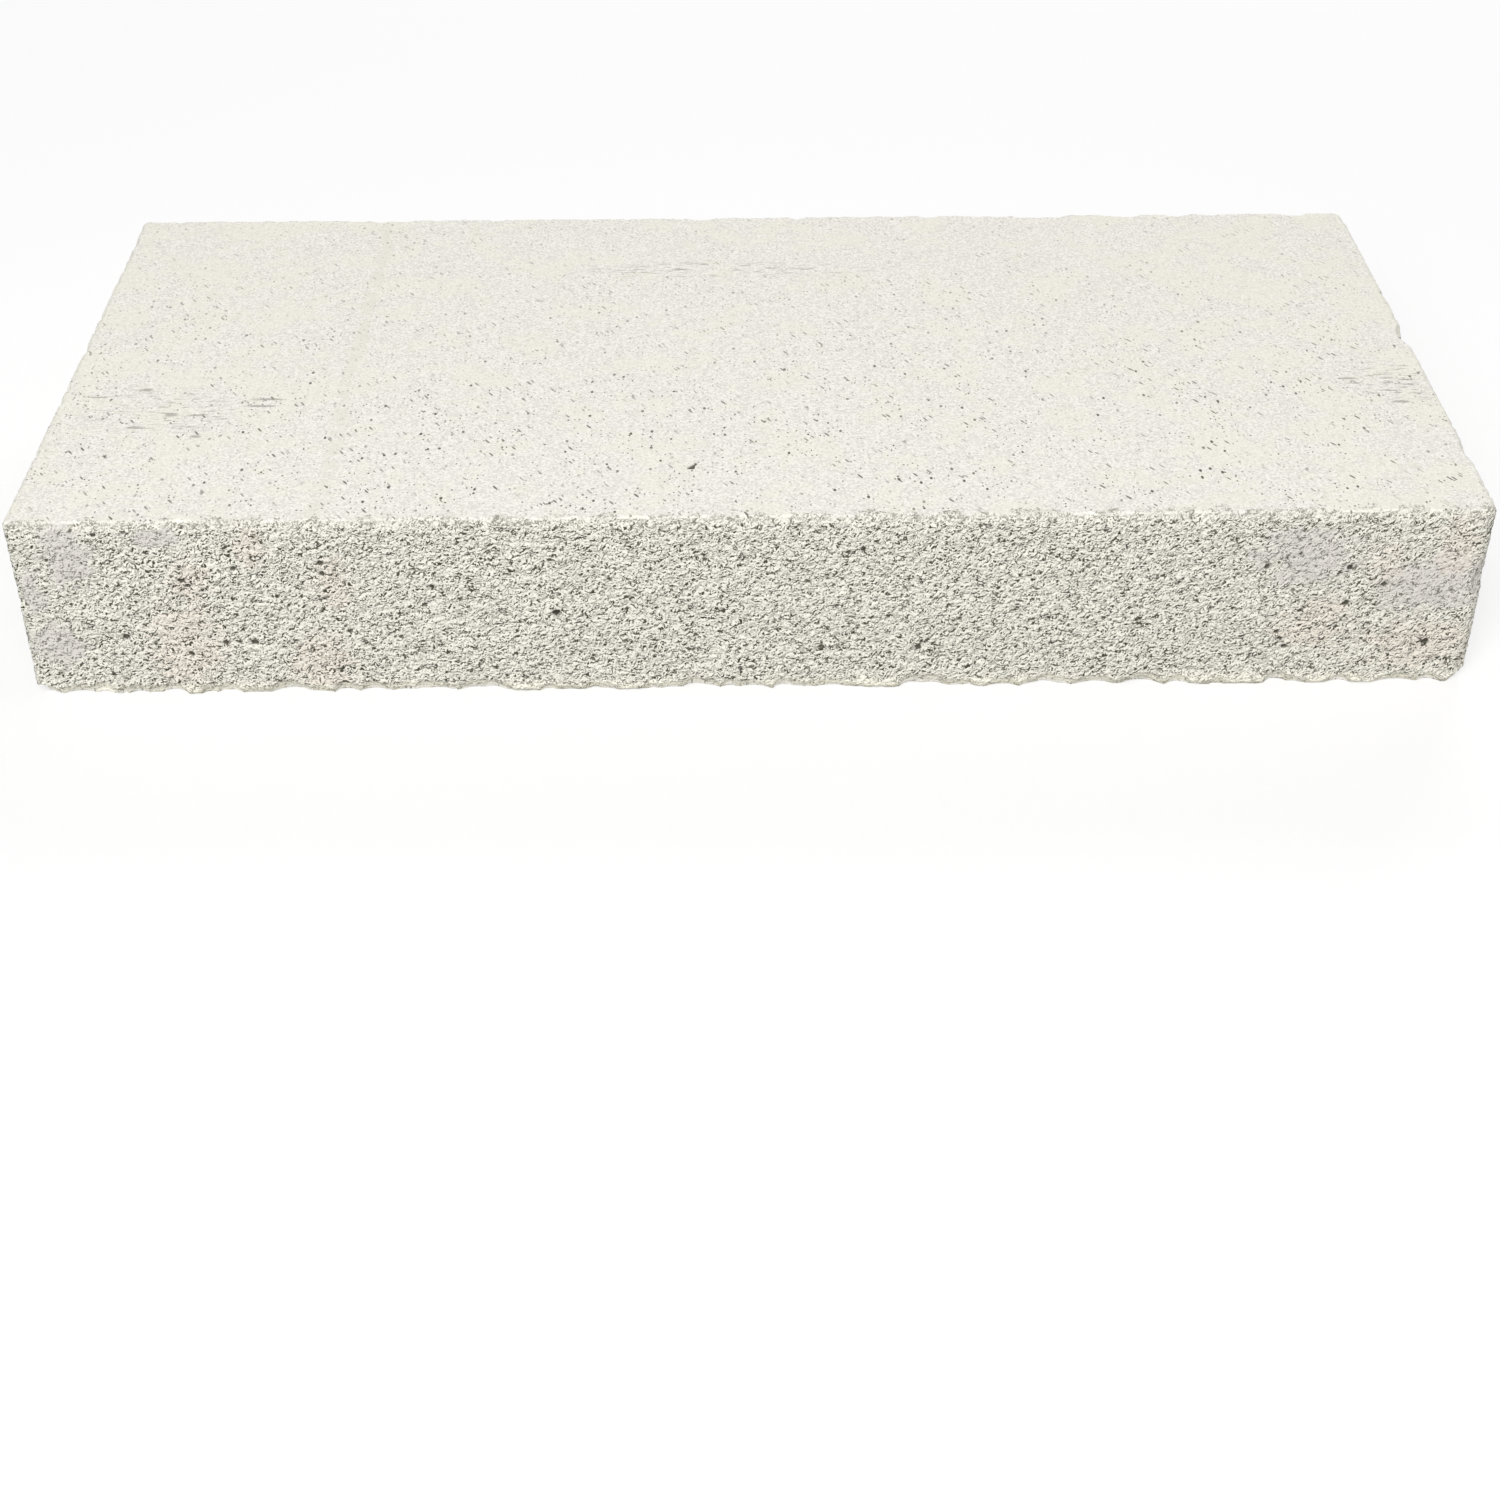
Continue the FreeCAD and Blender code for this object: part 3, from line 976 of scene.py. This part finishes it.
def bed_finish(tree, here):
    """Colour of the beds, ground flat, with fine pores and faint blotches."""
    x, y, _ = axes(here)
    slant = node(tree, "ShaderNodeVectorRotate", here, None, (0.0, 0.0, 1.0), DASHES_TURN)
    crowd = noise(here, CROWD_SIZE, roughness=0.7).ease(*CROWD_EDGE, CROWD_LEAST, 1.0)
    crowd = crowd * y.ease(*CROWD_FROM_BACK["at"], *CROWD_FROM_BACK["share"])
    fine = specks(shaken(here, *SPECKS_STIRRED).scaled(FINE_STRETCH), **SPECKS["fine"])
    dots = specks(here.scaled(DOTS_STRETCH).moved(APART["dots"]), **SPECKS["dots"])
    dashes = specks(slant.scaled(DASHES_STRETCH), **SPECKS["dashes"])
    pores = (fine * HIDES["fine"]).above(dots).above(dashes * HIDES["dash"]) * crowd

    streaks = noise(here.scaled(STREAK_STRETCH), STREAK_SIZE, roughness=0.6)
    scuffs = streaks.ease(*STREAK_EDGE) * ovals(here, SCUFFS, 0.0)
    scratches = ovals(here, SCRATCHES, (streaks - 0.5) * SCRATCH_RAGGED)
    mottle = noise(here, MOTTLE_SIZE, detail=1.0, roughness=0.6)
    sides = abs(x).ease(*BLOTCH_SIDES["from_to"], 0.0, BLOTCH_SIDES["more"])
    blotch = noise(here, BLOTCH_SIZE, detail=5.0, roughness=0.75) + sides
    blotch = blotch.ease(*BLOTCH_EDGE)
    winding = (noise(here, VEIN_WAVES["size"]) - 0.5) * VEIN_WAVES["far"]
    gaps = noise(here, VEIN_GAPS["size"], detail=3.0, roughness=0.7).ease(*VEIN_GAPS["edge"])
    vein = abs(x + winding - VEIN_AT).ease(*VEIN_EDGE) * gaps
    colour = blend(tree, mottle.ease(*MOTTLE_EDGE), CLAY, DULL_CLAY)
    colour = blend(tree, blotch * HIDES["blotch"], colour, YELLOW_CLAY)
    colour = blend(tree, vein * HIDES["vein"], colour, VEIN_CLAY)
    dark = pores.above(scuffs * HIDES["scuff"]).above(scratches * HIDES["scratch"])
    return blend(tree, dark, colour, SPECK)


def make_clay():
    """The brick's one material: torn sides, with ground beds over them."""
    material = bpy.data.materials.new("fired_clay")
    material.use_nodes = True
    tree = material.node_tree
    tree.nodes.clear()
    here = node(tree, "ShaderNodeTexCoord", output="Object").scaled((1 / MM,) * 3)
    _, y, z = axes(here)
    from_front = y + HALF_WIDTH
    from_bed = z.below(THICKNESS - z)
    ragged = noise(here, RAGGED["size"], detail=4.0, roughness=0.7) - 0.5
    ragged = ragged * RAGGED["far"]
    worn_rim = from_front.ease(*RIM_FADE, 0.0, ragged * RIM["ragged"] + RIM["wide"])
    below_bed = (from_bed - worn_rim).ease(*RIM_EDGE)
    front = (from_front + ragged).ease(*FRONT_EDGE).above(from_front.ease(*FRONT_LEAST))
    torn_colour, torn_relief = torn_finish(tree, here)
    # Painted shade in the pits and pores, darker the deeper they are
    hole = painted(tree, "hole").ease(*HOLE_DEPTHS)
    colour = blend(tree, front.above(below_bed), bed_finish(tree, here), torn_colour)
    colour = blend(tree, hole * HIDES["hole"], colour, PAINTED_SHADE_CLAY)
    relief = torn_relief * below_bed
    bump = tree.nodes.new("ShaderNodeBump")
    bump.inputs["Strength"].default_value = 1.0
    bump.inputs["Distance"].default_value = MM
    tree.links.new(relief.socket, bump.inputs["Height"])
    shader = tree.nodes.new("ShaderNodeBsdfPrincipled")
    shader.inputs["Specular IOR Level"].default_value = SPECULAR_LEVEL
    shader.inputs["Roughness"].default_value = ROUGHNESS
    tree.links.new(colour.socket, shader.inputs["Base Color"])
    tree.links.new(bump.outputs["Normal"], shader.inputs["Normal"])
    node_out(tree, "ShaderNodeOutputMaterial", Field(tree, shader.outputs[0]))
    return material


add_camera()
add_lamps()
light_the_world()
add_floor()
mesh = build_brick()
mesh = decimate(mesh)
keep_in_box(mesh)
mesh.shade_smooth()
weigh_normals(mesh)
lay_out(mesh)
mesh.materials.clear()
mesh.materials.append(make_clay())
brick = bpy.data.objects.new("firebrick_torn", mesh)
bpy.context.scene.collection.objects.link(brick)
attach(brick, "root")
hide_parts(NODE)

bpy.context.scene.view_settings.view_transform = "Standard"
